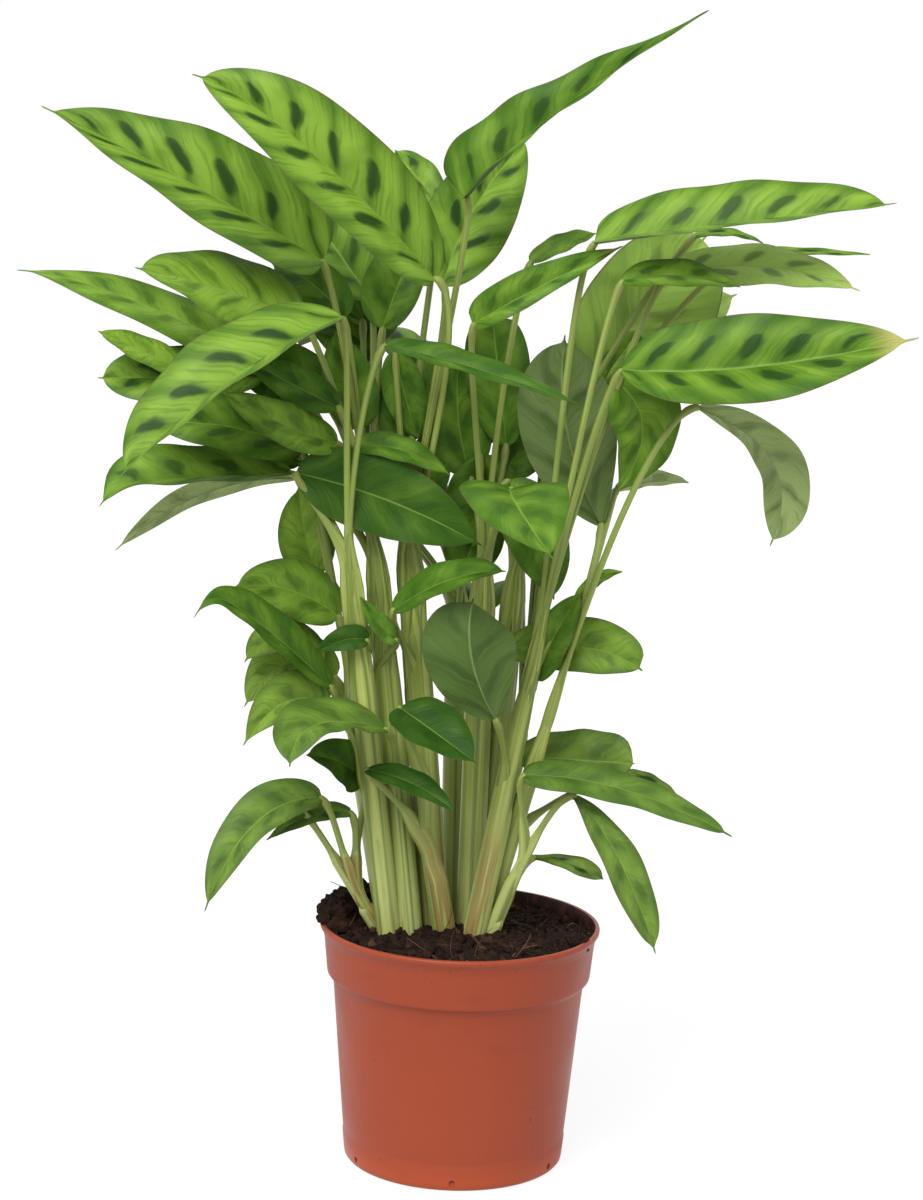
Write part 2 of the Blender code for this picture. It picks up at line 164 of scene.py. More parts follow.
# Small leaves that only the looks hold, in the same columns.
SMALL_LEAVES = {
    "rear_gap": ("left_rear", (-46, 36, 338), (-57, 40, 347), (-72, 44, 350), 18, (0, -9, 2), 12),
    "inner_bit": ("low_left", (-30, -22, 229), (-37, -24, 235), (-46, -22, 247), 10, (1, -8, 4), 25),
    "low_left_end": ("outer_left", (-66, -25, 155), (-71, -28, 155.5), (-77, -30, 152), 6, (0, -7, 7), 12),
    "inner_low": ("centre_left", (-21, 22, 282), (-20, 26, 297), (-18, 30, 314), 20, (0, -9, 2), 12),
    "right_grey_top": ("right_rear", (88, 20, 397), (103, 20, 399), (118, 22, 395), 6, (0, -5, 8), 10),
    "right_folded": ("right_front", (28, -12, 212), (36, -14, 233), (46, -12, 250), 17, (-2, -9, 2), 20),
    "left_far": ("left_rear", (-117, 8, 332.5), (-140, 3, 343), (-158, -2, 351), 15, (0, -7, 7), 12),
    "left_outer": ("left_mid", (-90, 15, 334), (-125, 10, 332), (-159, 5, 331), 28, (0, -8, 5), 12),
    "left_pale_low": ("left_mid", (-74, 5, 292), (-114, 5, 284), (-150, 0, 259), 15, (1, 7, 7), 12),
    "centre_shaded": ("left_mid", (-51, -5, 307), (-31, -5, 306), (-10, -5, 296), 14, (0, -7, 7), 12),
    "top_small": ("centre_left", (-19, 40, 406), (-30, 50, 419), (-39, 60, 429), 18, (0, -8, 5), 12),
    "right_tip": ("right_rear", (108, 25, 391), (134, 25, 392), (163, 20, 392), 5, (0, -6, 8), 12),
    "right_grey": ("right_mid", (60, 30, 288), (76, 35, 292), (93, 40, 291), 12, (0, 7, 7), 12),
    "centre_upright": ("centre_left", (-35, 10, 346), (-30, 10, 326), (-24, 10, 309), 18, (0, -9, 3), 12),
    "left_upright": ("left_rear", (-66, 10, 250), (-71, 8, 269), (-74, 5, 288), 24, (0, -9, 2), 12),
    "low_left_tip": ("low_left", (-62, 0, 213), (-79, -5, 225), (-94, -10, 215), 20, (0, -7, 7), 12),
    "low_left_hanging": ("low_left", (-56, 5, 207), (-77, 0, 213), (-94, -5, 195), 26, (0, -8, 5), 12),
    "low_left_inner": ("outer_left", (-42, -10, 165), (-52, -20, 176), (-66, -35, 182), 21, (0, -8, 5), 12),
    "low_left_narrow": ("outer_left", (-47, -18, 154), (-63, -24, 154), (-82, -30, 144), 9, (0, -7, 7), 12),
    "inner_curled": ("low_left", (-42, -23, 228.5), (-51, -25, 229), (-63, -24, 223.5), 12, (1, -8, 4), 25),
    "right_spear": ("right_front", (44, -10, 246), (53, -8, 255), (63, -5, 258), 6, (0, -7, 7), 20),
    "right_grey_low": ("rear_right", (68, 22, 165), (83, 26, 159), (97, 30, 149), 10, (0, -7, 7), 12),
    "right_sprout": ("low_right", (30, -5, 134), (46, -10, 133), (60, -15, 128), 9, (0, -7, 7), 14),
    "centre_under": ("centre", (2, 26, 302), (4, 26, 281), (0, 22, 262), 32, (0, -9, 2), 12),
    "inner_left": ("left_rear", (-49, 14, 312), (-55, 18, 332), (-61, 20, 354), 24, (1, -9, 2), 14),
    "inner_middle": ("centre_left", (-32, 18, 306), (-29, 25, 328), (-22, 30, 350), 26, (0, -9, 2), 12),
    "inner_right": ("centre", (-2, 26, 293), (-8, 30, 318), (-8, 34, 343), 28, (0, -9, 3), 12),
    "inner_gap": ("right_rear", (11, 28, 293), (22, 32, 309), (30, 36, 328), 24, (0, -9, 3), 12),
    "inner_edge": ("right_rear", (50, 24, 332), (60, 28, 343), (68, 32, 358), 18, (0, -8, 4), 12),
    "left_under_low": ("low_left", (-73, 10, 297), (-84, 12, 306), (-94, 12, 312), 20, (0, -8, 4), 12),
    "left_inside": ("left_mid", (-62, 18, 321), (-84, 22, 334), (-108, 26, 335), 29, (0, -9, 4), 12),
    "behind_level": ("rear", (-28, 26, 268), (-40, 28, 278), (-54, 32, 282), 24, (0, -8, 4), 12),
    "behind_heart": ("rear", (-4, 26, 250), (2, 30, 268), (10, 34, 284), 26, (0, -9, 3), 12),
    "rear_dark": ("rear", (-34, 46, 300), (-40, 56, 318), (-42, 66, 330), 34, (0, -7, 6), 12),
    "rear_upper": ("left_rear", (-50, 38, 356), (-50, 54, 374), (-50, 70, 388), 28, (0, -6, 7), 12),
    "rear_fill": ("left_rear", (-44, 40, 346), (-60, 54, 357), (-80, 66, 358), 34, (0, -5, 8), 12),
    "back_right": ("rear_right", (30, 52, 312), (46, 78, 328), (60, 104, 316), 42, (2, 3, 9), 15),
    "back_centre": ("rear", (0, 62, 300), (0, 88, 318), (-4, 113, 304), 40, (0, 3, 9), 15),
    "back_low_left": ("rear", (-28, 52, 262), (-52, 74, 274), (-74, 90, 260), 36, (-2, 3, 9), 15),
    "back_low_right": ("rear_right", (22, 50, 262), (34, 72, 276), (44, 90, 264), 34, (2, 3, 9), 15),
    "back_low": ("rear", (2, 54, 226), (6, 78, 236), (10, 102, 220), 34, (0, 3, 9), 15),
    "back_upper": ("left_rear", (-46, 44, 346), (-54, 70, 366), (-64, 96, 362), 36, (0, 1, 9), 15),
    "back_edge": ("rear_right", (36, 44, 300), (62, 60, 314), (86, 72, 304), 36, (2, 1, 9), 15),
}

ALL_LEAVES = {**LEAVES, **SMALL_LEAVES}


def leaf(tone=0.0, spots=1.0, **others):
    """How a leaf looks: its tone (-1 dark to 1 pale, partly its own colour and partly painted shade and
    light; below -0.5 painted shade, above 1 painted light), its blotches' strength and more.
    """
    return {
        "tone": tone,
        "spots": spots,
        "yellow": 0.0,  # how yellow its tip is
        "ripple": 0.8,  # of its margin, millimetres
        "curl": (0, 0, 0),  # where its tip is carried off to, millimetres
        "shape": (0.5, 0.7),  # how its width rises from the base and falls to the tip
        "other": None,  # the same on the other half, if that differs
        "halves": (1.0, 1.0),  # how wide each half is
        "twist": 0,  # degrees by its tip
        "stalk": (0.33, 7.0),  # reach of its stalk's two bends
        "bow": 0.0,  # how far its stalk bows to the right, millimetres
        **others,
    }


LOOKS = {
    "front_turned": leaf(-0.4, shape=(0.62, 0.42)),
    "right_sprout": leaf(shape=(1.2, 0.5)),
    "outer_right": leaf(-0.15, 0.3, shape=(0.9, 0.55), stalk=(0.33, 9.0)),
    "right_lower": leaf(0.05, 0.3, shape=(0.45, 0.26), ripple=1.2),
    "outer_left": leaf(-0.2, 0.3, halves=(0.9, 1.0)),
    "left_outer": leaf(shape=(0.5, 0.45)),
    "left_front": leaf(0.45, shape=(0.5, 0.75), other=(0.5, 0.6)),
    "right_turned": leaf(-0.05, shape=(0.8, 0.55), stalk=(0.7, 3.0)),
    "right_inner": leaf(-0.1, 0.3, shape=(0.4, 0.85)),
    "right_droop": leaf(0.8, 0.5, shape=(0.8, 0.6), stalk=(0.66, 12.0)),
    "top_left": leaf(0.55, shape=(0.5, 0.72), other=(0.5, 0.62), curl=(0, 0, -4), bow=12.0),
    "far_left": leaf(0.3, shape=(0.36, 1.05), other=(0.36, 0.82)),
    "left_edge": leaf(0.1, 0.35, shape=(0.5, 0.95), curl=(0, 0, -2)),
    "top": leaf(
        -0.45, 0.8, shape=(0.2, 1.15), other=(0.3, 1.5), halves=(1.15, 0.6), ripple=1.2, twist=24,
        bow=9.0,
    ),
    "top_right": leaf(0.3, 0.8, shape=(0.33, 0.52), other=(0.4, 0.75), ripple=0.6, bow=-4.0),
    "top_rear": leaf(0.1, halves=(1.0, 1.05), bow=6.0),
    "right_front": leaf(-0.4, 0.9, shape=(0.5, 0.68), other=(0.75, 0.9), yellow=1.0),
    "right_upper": leaf(1.5, 0.6, yellow=0.3),
    "right_rear": leaf(1.35, 0.3, shape=(0.5, 0.45), halves=(0.92, 1.0)),
    "centre_up": leaf(-0.3, 0.5, shape=(0.35, 0.8), halves=(1.0, 0.58), yellow=0.5),
    "left_level": leaf(-0.1, 0.7, shape=(0.38, 0.45), other=(0.5, 0.3), curl=(2, 0, -10)),
    "low_left": leaf(-0.6, 0.3, curl=(-1, 0, -13)),
    "right_low": leaf(0.5, 0.25, shape=(0.45, 0.38), other=(0.45, 0.55), halves=(1.0, 0.88), ripple=1.4),
    "low_right": leaf(-0.45, 0.2, shape=(0.28, 0.5)),
    "low_left_folded": leaf(0.6, 0.3, shape=(0.5, 0.9)),
    "centre_steep": leaf(-0.4, 0.4, halves=(1.0, 0.7)),
    "centre_dark": leaf(-0.45, 0.3, shape=(0.5, 0.3)),
    "right_grey": leaf(0.9, 0.4, stalk=(0.9, 2.0)),
    "low_left_end": leaf(-0.4, 0.3, stalk=(0.6, 3.0)),
}
# Leaves with a tone and blotches of their own, and else plain; a tone below -0.5 is painted shade, above 1
# painted light.
TONES = {
    (-1.0, 0.3): "front_small",
    (-0.95, 0.2): "low_centre",
    (-0.9, 0.2): "inner_curled",
    (-0.8, 0.25): "centre_level",
    (-0.75, 0.3): "low_left_inner",
    (-0.7, 0.2): "centre_narrow",
    (-0.7, 0.5): "left_shaded",
    (-0.6, 0.2): "front_upper",
    (-0.6, 0.4): "left_small",
    (-0.6, 0.5): "left_inside rear_fill",
    (-0.5, 0.1): "right_folded",
    (-0.5, 0.2): "centre_shaded inner_bit",
    (-0.5, 0.4): "left_under_low",
    (-0.5, 0.5): "rear_upper",
    (-0.45, 0.3): "heart centre_under centre_upright inner_left behind_level behind_heart",
    (-0.45, 0.4): "centre_hidden inner_middle inner_right inner_gap inner_low rear_gap",
    (-0.45, 0.5): "rear_dark",
    (-0.4, 0.3): "low_left_narrow",
    (-0.3, 0.6): "left_under",
    (-0.3, 0.7): "left_behind",
    (-0.25, 0.3): "low_front",
    (-0.2, 0.2): "small_rear",
    (-0.2, 0.4): "inner_edge",
    (-0.1, 0.5): "right_knee",
    (0.15, 0.3): "low_left_upper",
    (0.2, 0.4): "left_turned",
    (0.8, 0.3): "low_left_tip low_left_hanging",
    (0.9, 0.35): "left_pale",
    (0.9, 0.4): "left_pale_low",
    (1.0, 0.1): "left_far left_upright",
    (1.7, 0.3): "right_behind",
}
LOOKS.update((name, leaf(*two)) for two, names in TONES.items() for name in names.split())

# Leaf mesh.
ROW_STEP = 2.2  # millimetres between rows along a blade
HALF_COLUMNS = 9
BLADE_THICKNESS = 0.34
MARGIN_THICKNESS = 0.1
BLADE_END_WIDTH = 0.4
TIP_START = 0.955  # share of a blade's length where its drawn-out tip begins
TIP_WIDTH = 1.3
ARCH = 0.07  # how far each half bulges between midrib and margin, as a share of its width
PLEAT = 0.14  # height of the folds between side veins, millimetres
VEIN_GAP = 21.0  # millimetres along the midrib between the side veins that carry blotches
VEIN_SLANT = 0.95  # how far a side vein runs towards the tip for each millimetre it runs out
CURL_START = 0.65
MIDRIB_HEIGHT = 0.9
SHARP = 70  # degrees between faces from which their edge is a sharp one


def unit(vectors):
    return vectors / np.maximum(np.linalg.norm(vectors, axis=-1, keepdims=True), 1e-9)


def add_object(name, data):
    obj = bpy.data.objects.new(name, data)
    bpy.context.scene.collection.objects.link(obj)
    return obj


class Builder:
    """Gathers swept surfaces into one closed, smooth mesh object, in millimetres until it is made."""

    def __init__(self):
        self.points, self.faces, self.slots = [], [], []
        self.maps, self.looks, self.veins = [], [], []
        self.count = 0

    def sweep(self, points, u=0.0, v=0.0, look=(0, 0, 0, 0), slots=0, veins=0.0):
        """Adds rows of points. Each row closes on itself: its last point repeats its first."""
        rows, columns = points.shape[:2]
        index = self.count + np.arange(rows * columns).reshape(rows, columns)
        quads = np.stack([index[:-1, :-1], index[1:, :-1], index[1:, 1:], index[:-1, 1:]], -1)
        u, v, veins = (np.broadcast_to(value, (rows, columns)).reshape(-1) for value in (u, v, veins))
        self.points.append(points.reshape(-1, 3))
        self.faces.append(quads.reshape(-1, 4))
        self.maps.append(np.stack([u, v], -1))
        self.veins.append(veins)
        self.looks.append(np.broadcast_to(np.asarray(look, float), (rows, columns, 4)).reshape(-1, 4))
        self.slots.append(np.broadcast_to(slots, (rows - 1, columns - 1)).reshape(-1))
        self.count += rows * columns

    def make(self, name, materials, replaces=()):
        points = np.concatenate(self.points) * MM
        faces = np.concatenate(self.faces)
        mesh = bpy.data.meshes.new(name)
        mesh.from_pydata(points.tolist(), [], faces.tolist())
        mesh.polygons.foreach_set("material_index", np.concatenate(self.slots).astype(np.int32))
        layer = mesh.uv_layers.new(name="along_across")
        layer.data.foreach_set("uv", np.concatenate(self.maps)[faces.reshape(-1)].reshape(-1))
        veins = mesh.attributes.new("veins", "FLOAT", "POINT")
        veins.data.foreach_set("value", np.concatenate(self.veins))
        look = mesh.attributes.new("look", "FLOAT_COLOR", "POINT")
        look.data.foreach_set("color", np.concatenate(self.looks).reshape(-1))
        shape = bmesh.new()
        shape.from_mesh(mesh)
        bmesh.ops.remove_doubles(shape, verts=shape.verts, dist=MERGE)
        bmesh.ops.dissolve_degenerate(shape, edges=shape.edges, dist=MERGE / 5)
        bmesh.ops.recalc_face_normals(shape, faces=shape.faces)
        shape.to_mesh(mesh)
        shape.free()
        mesh.shade_smooth()
        mesh.set_sharp_from_angle(angle=math.radians(SHARP))
        for material in materials:
            mesh.materials.append(material)
        obj = add_object(name, mesh)
        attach(obj, "root")
        if replaces:
            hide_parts(*replaces)
        return obj


def seeded(name):
    """A generator of random numbers that depends on the name alone."""
    return np.random.default_rng(sum(ord(c) * (i + 7) for i, c in enumerate(name)))


def midrib(row):
    """The three handles of the quadratic curve through a leaf's base, middle and tip."""
    base, middle, tip = (np.array(p, float) for p in row[1:4])
    return base, 2 * middle - (base + tip) / 2, tip


def bezier(points, t):
    """Points at t (an array) on the Bezier curve with these handles."""
    t = np.asarray(t, float)[..., None]
    points = [np.asarray(p, float) for p in points]
    while len(points) > 1:
        points = [a + (b - a) * t for a, b in zip(points, points[1:])]
    return points[0]


def half_width(t, width, fullness):
    """Half of a blade's width: a leaf outline that ends in a short drawn-out tip."""
    rise, fall = fullness
    fullest = rise / (rise + fall)
    most = fullest**rise * (1 - fullest) ** fall
    body = np.clip(t / TIP_START, 0, 1)
    body = width / 2 * body**rise * (1 - body) ** fall / most
    return np.hypot(body, BLADE_END_WIDTH / 2 + TIP_WIDTH * np.sqrt(1 - t))


def vein_place(row, t, out):
    """Counts side veins from the base: they leave the midrib at an even angle."""
    length = midrib_length(row)
    slant = row[4] / 2 / length * VEIN_SLANT
    return length / VEIN_GAP * (t - slant * out)


def midrib_length(row):
    handles = midrib(row)
    return sum(np.linalg.norm(b - a) for a, b in zip(handles, handles[1:]))


def blade_surface(name, row, look, t, side):
    """The blade's middle surface at t along and side across, its normal and its up direction."""
    width, facing, fold = row[4:]
    chance = seeded(name)
    handles = first, second, third = midrib(row)
    bent = np.clip((t - CURL_START) / (1 - CURL_START), 0, 1)[..., None] ** 3
    centre = bezier(handles, t) + np.asarray(look["curl"], float) * bent
    along = unit((second - first) * (1 - t)[..., None] + (third - second) * t[..., None])
    up = np.array(facing, float)
    up = unit(up - (up * along).sum(-1, keepdims=True) * along)
    twist = np.radians(look["twist"]) * smooth(t)[..., None]
    up = up * np.cos(twist) + np.cross(along, up) * np.sin(twist)
    across = np.cross(along, up)
    out = np.abs(side)
    near = half_width(t, width * look["halves"][0], look["shape"])
    far = half_width(t, width * look["halves"][1], look["other"] or look["shape"])
    half = np.where(side > 0, far, near)
    lean = np.radians(fold)
    fade = np.sin(np.pi * np.clip(t, 0.001, 1)) ** 0.5
    waves = chance.uniform(2.2, 3.6)
    phase = np.where(side > 0, chance.uniform(0, 6), chance.uniform(0, 6))
    ripple = look["ripple"] * (width / 40) ** 0.5 * out**2 * np.sin(2 * np.pi * waves * t + phase) * fade
    vein = vein_place(row, t, out) + 0.5 * (side > 0)
    pleat = PLEAT * np.cos(2 * np.pi * vein) * np.sin(np.pi * out) * fade
    rise = half * (out * np.sin(lean) + ARCH * np.sin(np.pi * out)) + ripple + pleat
    surface = centre + across * (half * side * np.cos(lean))[..., None] + up * rise[..., None]
    normal = unit(np.cross(np.gradient(surface, axis=0), np.gradient(surface, axis=1)))
    return surface, normal, up


def closed(over, under):
    """Rows across the upper side and back beneath to where they began."""
    return np.concatenate([over, under[:, ::-1], over[:, :1]], axis=1)


def make_leaf(name, row, materials):
    """Sweeps a leaf blade: over its upper side from one margin to the other, and back beneath."""
    look = LOOKS.get(name, leaf())
    rows = int(np.clip(midrib_length(row) / ROW_STEP, 22, 64))
    step = np.linspace(0, 1, rows + 1)
    t = 0.5 * step + 0.25 * (1 - np.cos(np.pi * step))
    column = np.linspace(-1, 1, 2 * HALF_COLUMNS + 1)
    side = np.sign(column) * np.abs(column) ** 1.25
    t, side = np.meshgrid(t, side, indexing="ij")
    surface, normal, up = blade_surface(name, row, look, t, side)
    normal *= np.sign((normal * up).sum(-1, keepdims=True))
    thick = BLADE_THICKNESS + (MARGIN_THICKNESS - BLADE_THICKNESS) * np.abs(side) ** 3
    top = surface + normal * thick[..., None] / 2
    bottom = surface - normal * thick[..., None] / 2
    ridge = np.exp(-((np.abs(side) / 0.05) ** 2)) * MIDRIB_HEIGHT * (1 - t) ** 0.7
    bottom = bottom - up * ridge[..., None]
    loop = closed(top, bottom)
    loop[0] = loop[0].mean(axis=0)
    loop[-1] = loop[-1].mean(axis=0)
    u, v = closed(t, t), closed(side, side)
    count = side.shape[1]
    slots = [0] * (count - 1) + [1] * (count + 1)
    tint = (look["tone"], look["spots"], look["yellow"], seeded(name).uniform(0, 10))
    builder = Builder()
    builder.sweep(loop, u, v, tint, slots, vein_place(row, u, np.abs(v)))
    builder.make("blade_" + name, materials, ["leaf_" + name] if name in LEAVES else [])


# Stems.


def path_frames(points, first):
    """Two directions across the path at each of its points, the first starting near the given one."""
    along = unit(np.gradient(points, axis=0))
    carried = np.asarray(first, float)
    sides = []
    for direction in along:
        carried = unit(carried - direction * (carried @ direction))
        sides.append(carried)
    sides = np.array(sides)
    return sides, np.cross(along, sides)


def add_rings(builder, points, rings, angle, look):
    """Closes the rings with a cap at each end and maps them by height and angle."""
    rings[:, -1] = rings[:, 0]
    caps = [np.repeat(points[i][None, None], len(angle), axis=1) for i in (0, -1)]
    rings = np.concatenate([caps[0], rings, caps[1]])
    height = np.pad(points[:, 2], 1, mode="edge")
    if np.ndim(look) > 1:
        look = np.pad(look, ((1, 1), (0, 0)), mode="edge")[:, None]
    builder.sweep(rings, height[:, None] / 100, angle / (2 * np.pi), look)


def smooth(value):
    value = np.clip(value, 0, 1)
    return value * value * (3 - 2 * value)


def stalk_route(row, offset, bends, bow):
    """A stalk's points from the soil to its knee, and the height where it leaves its shoot."""
    foot, mouth, _ = SHOOTS[row[0]]
    mouth = np.array(mouth, float)
    bend = np.array((*foot, SOIL_TOP + SHEATH_FOOT), float)
    rise = unit(mouth - bend)
    first, second, _ = midrib(row)
    along = unit(second - first)
    start_height = max(bend[2] + STALK_ROOT, min(mouth[2] - STALK_ROOT, first[2] - STALK_RISE))
    start = mouth - (mouth[2] - start_height) / rise[2] * rise
    end = first + 1.5 * along
    reach = np.linalg.norm(end - start)
    first_bend, last_bend = bends
    aside = np.array((bow, 0.0, 0.0))
    handles = [start, start + reach * first_bend * rise + aside, end - last_bend * along + aside, end]
    upper = bezier(handles, np.linspace(0, 1, 30))
    share = np.linspace(0, 1, 26)
    kept = 1 - smooth((share - 0.7) / 0.3)
    lower = bend + (start - bend) * share[:, None] + offset * kept[:, None]
    root = lower[0] - (0, 0, SHEATH_FOOT + STALK_BURIED)
    points = np.concatenate([root[None], lower[:-1], upper])
    return points, start_height


def add_stalk(builder, row, look, number, count, tone, brown):
    """One leaf's stalk: a flat strap round the shoot below, a round petiole and a knee above."""
    thick, thin = SHOOTS[row[0]][2]
    turn = 2 * np.pi * (number + 0.15) / count - 1.2
    outward = np.array((np.cos(turn), np.sin(turn), 0.0))
    spread = 0.0 if count == 1 else thick * (0.45 + 0.12 * (number % 2))
    points, start_height = stalk_route(row, outward * spread, look["stalk"], look["bow"])
    sheath_end = start_height + SHEATH_REACH
    climbed = (points[:, 2] - SOIL_TOP) / (sheath_end - SOIL_TOP)
    bound = 1 - smooth((climbed - SHEATH_FULL) / (1 - SHEATH_FULL))
    bound[0] = bound[1]
    distance = np.linalg.norm(points - points[-1], axis=1)
    knee = np.clip(1 - np.abs(distance - KNEE_BELOW) / KNEE_REACH, 0, 1)
    petiole = STALK_RADIUS * 0.9 + (KNEE_RADIUS - STALK_RADIUS * 0.9) * knee
    petiole[-1] *= 0.5
    share = smooth(climbed)
    broad = (thick + (thin - thick) * share) * (1.0 if count == 1 else 0.9)
    wide = petiole + (broad - petiole) * bound
    deep = petiole + (STRAP_DEPTH - petiole) * bound
    across, other = path_frames(points, outward)
    angle = np.linspace(0, 2 * np.pi, STALK_SIDES + 1)
    ribbed = 1 + RIB_DEPTH * np.cos(RIBS * angle) * bound[:, None]
    sideways = wide[:, None] * np.cos(angle) * ribbed
    wrap = HUG * bound[:, None] * sideways**2 / wide[:, None]
    outwards = deep[:, None] * np.sin(angle) * ribbed - wrap
    rings = points[:, None] + other[:, None] * sideways[..., None] + across[:, None] * outwards[..., None]
    tint = np.stack([tone + 0 * bound, bound, knee, brown + 0 * bound], -1)
    add_rings(builder, points, rings, angle, tint)


def make_stems(shoot, materials):
    builder = Builder()
    chance = seeded(shoot + "_tone")
    rows = [(name, row) for name, row in ALL_LEAVES.items() if row[0] == shoot]
    rows.sort(key=lambda item: item[1][1][2])
    for number, (name, row) in enumerate(rows):
        brown = 1.0 if chance.random() < BROWN_SHARE else 0.0
        look = LOOKS.get(name, leaf())
        add_stalk(builder, row, look, number, len(rows), chance.uniform(-0.5, 0.6), brown)
    builder.make("stems_" + shoot, materials, ["shoot_" + shoot])


# Materials. Colours are linear red, green and blue.

DARK_GREEN = (0.033, 0.098, 0.005)
PALE_GREEN = (0.175, 0.3, 0.031)
DEEP_GREEN = (0.028, 0.088, 0.003)
VEIN_GREEN = (0.018, 0.066, 0.003)
BLOTCH_AND_SHADE_GREEN = (0.01, 0.034, 0.006)
RIB_GREEN = (0.19, 0.29, 0.05)
PAINTED_LIGHT_GREEN = (0.4, 0.55, 0.15)
LEAF_DUST = (0.1, 0.088, 0.058)
YELLOWED = (0.4, 0.37, 0.12)
DRY_MARGIN = (0.075, 0.065, 0.022)
UNDER_DARK = (0.047, 0.09, 0.012)
UNDER_PALE = (0.255, 0.335, 0.118)
UNDER_VEIN = (0.024, 0.05, 0.008)
UNDER_RIB = (0.15, 0.22, 0.065)
STEM_GREEN = (0.155, 0.205, 0.028)
STEM_PALE = (0.36, 0.41, 0.105)
STEM_FOOT = (0.43, 0.47, 0.165)
STEM_DARK = (0.065, 0.115, 0.014)
PETIOLE_GREEN = (0.16, 0.225, 0.04)
KNEE_BROWN = (0.19, 0.16, 0.03)
DRY_SHEATH = (0.2, 0.11, 0.03)
POT_SHADE = (0.232, 0.037, 0.013)
POT_LIGHT = (0.266, 0.044, 0.016)
POT_FOOT = (0.34, 0.055, 0.014)
POT_SPECK = (0.06, 0.02, 0.014)
NEAR_BLACK_BROWN = (0.02, 0.006, 0.004)
SOIL_BLACK = (0.003, 0.0015, 0.001)
SOIL_BROWN = (0.034, 0.016, 0.01)
SOIL_WARM = (0.05, 0.02, 0.01)
CRUMB_BROWN = (0.08, 0.038, 0.02)
FIBRE_DARK = (0.02, 0.009, 0.006)
FIBRE_PALE = (0.125, 0.062, 0.034)
FIBRE_GRAIN = (0.04, 0.02, 0.012)
STUDIO_GREY = (0.13, 0.13, 0.13)
WHITE = (1.0, 1.0, 1.0)


class Graph:
    """A material's node tree, with short calls for the nodes used here, and its colour so far."""

    def __init__(self, name, colour):
        self.material = bpy.data.materials.new(name)
        self.material.use_nodes = True
        self.tree = self.material.node_tree
        self.shader = self.tree.nodes["Principled BSDF"]
        self.colour = colour

    def feed(self, socket, value):
        if isinstance(value, bpy.types.NodeSocket):
            self.tree.links.new(value, socket)
        elif isinstance(value, tuple) and socket.type == "RGBA":
            socket.default_value = (*value, 1.0)
        else:
            socket.default_value = value

    def node(self, kind, inputs=None, **settings):
        made = self.tree.nodes.new("ShaderNode" + kind)
        for name, value in settings.items():
            setattr(made, name, value)
        for key, value in (inputs or {}).items():
            self.feed(made.inputs[key], value)
        return made

    def coat(self, colour, share):
        """Lays a colour over what is there, as strongly as share says."""
        inputs = {"Factor": share, 6: self.colour, 7: colour}
        self.colour = self.node("Mix", inputs, data_type="RGBA").outputs[2]

    def done(self, **inputs):
        """Sets the shader's inputs, its colour being the coats so far, and gives the material."""
        for key, value in {"Base_Color": self.colour, **inputs}.items():
            self.feed(self.shader.inputs[key.replace("_", " ")], value)
        return self.material

    def math(self, operation, *values):
        return self.node("Math", dict(enumerate(values)), operation=operation).outputs[0]

    def add(self, first, *others):
        for value in others:
            first = self.math("ADD", first, value)
        return first

    def times(self, first, *others):
        for value in others:
            first = self.math("MULTIPLY", first, value)
        return first

    def less(self, first, second):
        return self.math("SUBTRACT", first, second)

    def beside(self, count):
        """How far a running count is from the nearest half: 0 there, and 0.5 at whole numbers."""
        return self.math("ABSOLUTE", self.less(self.math("FRACT", count), 0.5))

    def ease(self, value, low, high, start=0.0, end=1.0):
        """Goes smoothly from start to end as value goes from low to high."""
        inputs = {"Value": value, "From Min": low, "From Max": high, "To Min": start, "To Max": end}
        return self.node("MapRange", inputs, interpolation_type="SMOOTHSTEP").outputs["Result"]

    def noise(self, vector, scale, detail=2.0, roughness=0.5):
        inputs = {"Vector": vector, "Scale": scale, "Detail": detail, "Roughness": roughness}
        return self.node("TexNoise", inputs).outputs["Fac"]

    def split(self, vector):
        return self.node("SeparateXYZ", {"Vector": vector}).outputs

    def joined(self, x, y, z=0.0):
        return self.node("CombineXYZ", {"X": x, "Y": y, "Z": z}).outputs["Vector"]

    def map(self):
        return self.split(self.node("UVMap", uv_map="along_across").outputs["UV"])

    def look(self):
        """The four numbers that each mesh carries for its own variation."""
        made = self.node("Attribute", attribute_name="look")
        colour = self.node("SeparateColor", {"Color": made.outputs["Color"]}).outputs
        return *colour[:3], made.outputs["Alpha"]

    def place(self):
        """Where a point of the object lies, in metres."""
        return self.node("TexCoord").outputs["Object"]

    def bump(self, height, distance):
        made = self.node("Bump", {"Height": height, "Distance": distance})
        self.feed(self.shader.inputs["Normal"], made.outputs["Normal"])


